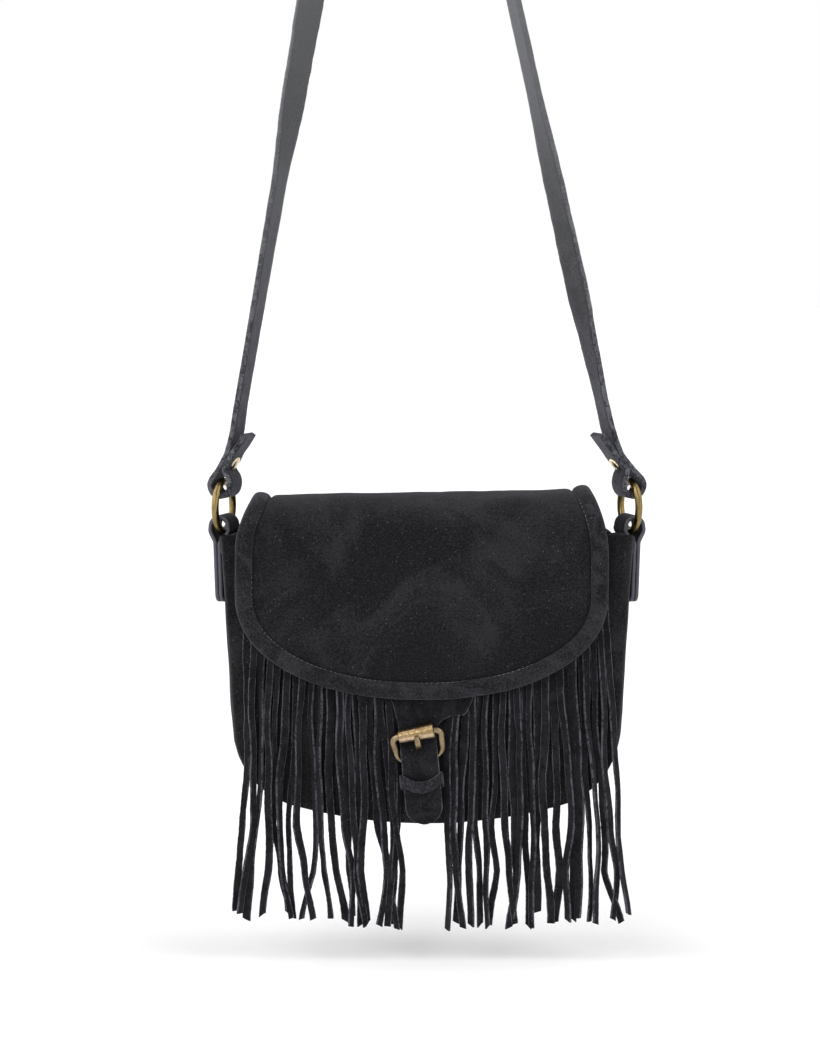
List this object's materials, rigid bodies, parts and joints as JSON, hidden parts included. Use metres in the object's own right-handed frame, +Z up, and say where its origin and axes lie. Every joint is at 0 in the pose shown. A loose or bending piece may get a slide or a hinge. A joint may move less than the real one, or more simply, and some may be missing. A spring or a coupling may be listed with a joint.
{
  "type": "fringed suede shoulder bag",
  "caption": "Soft suede shoulder bag with an arched bound flap, cut fringe below it, a roller buckle closure, and a long strap looped through round metal rings.",
  "frame": {"origin": "the underside of the strap's crown, where it rests on its hook", "axes": "+Z up along the hanging bag, -Y towards its front, +X to the right as seen from the front"},
  "size_m": [0.239, 0.0775, 0.7595],
  "materials": {
    "suede": "black suede, mottled nap",
    "fringe_suede": "black suede with raw cut edges",
    "strap_suede": "folded black suede with raw edges",
    "old_brass": "antique brass, polished on the high spots",
    "pale_brass": "pale polished brass"
  },
  "bodies": {
    "strap": {"shoulder_strap": "strap_suede", "left_rivet": "pale_brass", "right_rivet": "pale_brass"},
    "left_ring": {"left_ring": "old_brass"},
    "right_ring": {"right_ring": "old_brass"},
    "bag": {"front_panel": "suede", "back_panel": "suede", "gusset": "suede", "flap": "suede", "flap_binding": "suede", "fringe_left": "fringe_suede", "fringe_right": "fringe_suede", "closure_strap": "suede", "closure_chape": "suede", "closure_keeper": "suede", "buckle_frame": "old_brass", "buckle_prong": "old_brass", "left_ring_tab": "strap_suede", "right_ring_tab": "strap_suede"},
    "roller": {"buckle_roller": "old_brass"}
  },
  "joints": [
    {"name": "left_ring_swing", "type": "hinge", "parent": "strap", "child": "left_ring", "pos_m": [-0.09506, 0, -0.5195], "axis": [0, 1, 0], "range_deg": [-18, 18]},
    {"name": "bag_sway", "type": "hinge", "parent": "left_ring", "child": "bag", "pos_m": [-0.09506, 0, -0.5368], "axis": [0, 1, 0], "range_deg": [-18, 18]},
    {"name": "right_ring_swing", "type": "hinge", "parent": "strap", "child": "right_ring", "pos_m": [0.12666, 0, -0.5195], "axis": [0, 1, 0], "range_deg": [-18, 18]},
    {"name": "roller_spin", "type": "hinge", "parent": "bag", "child": "roller", "pos_m": [0.00985, -0.04031, -0.64743], "axis": [0.9816, 0, 0.1908], "continuous": true}
  ],
  "couplings": [
    {"joint": "left_ring_swing", "follows": "bag_sway", "ratio": -1},
    {"joint": "right_ring_swing", "follows": "bag_sway", "ratio": -1}
  ]
}
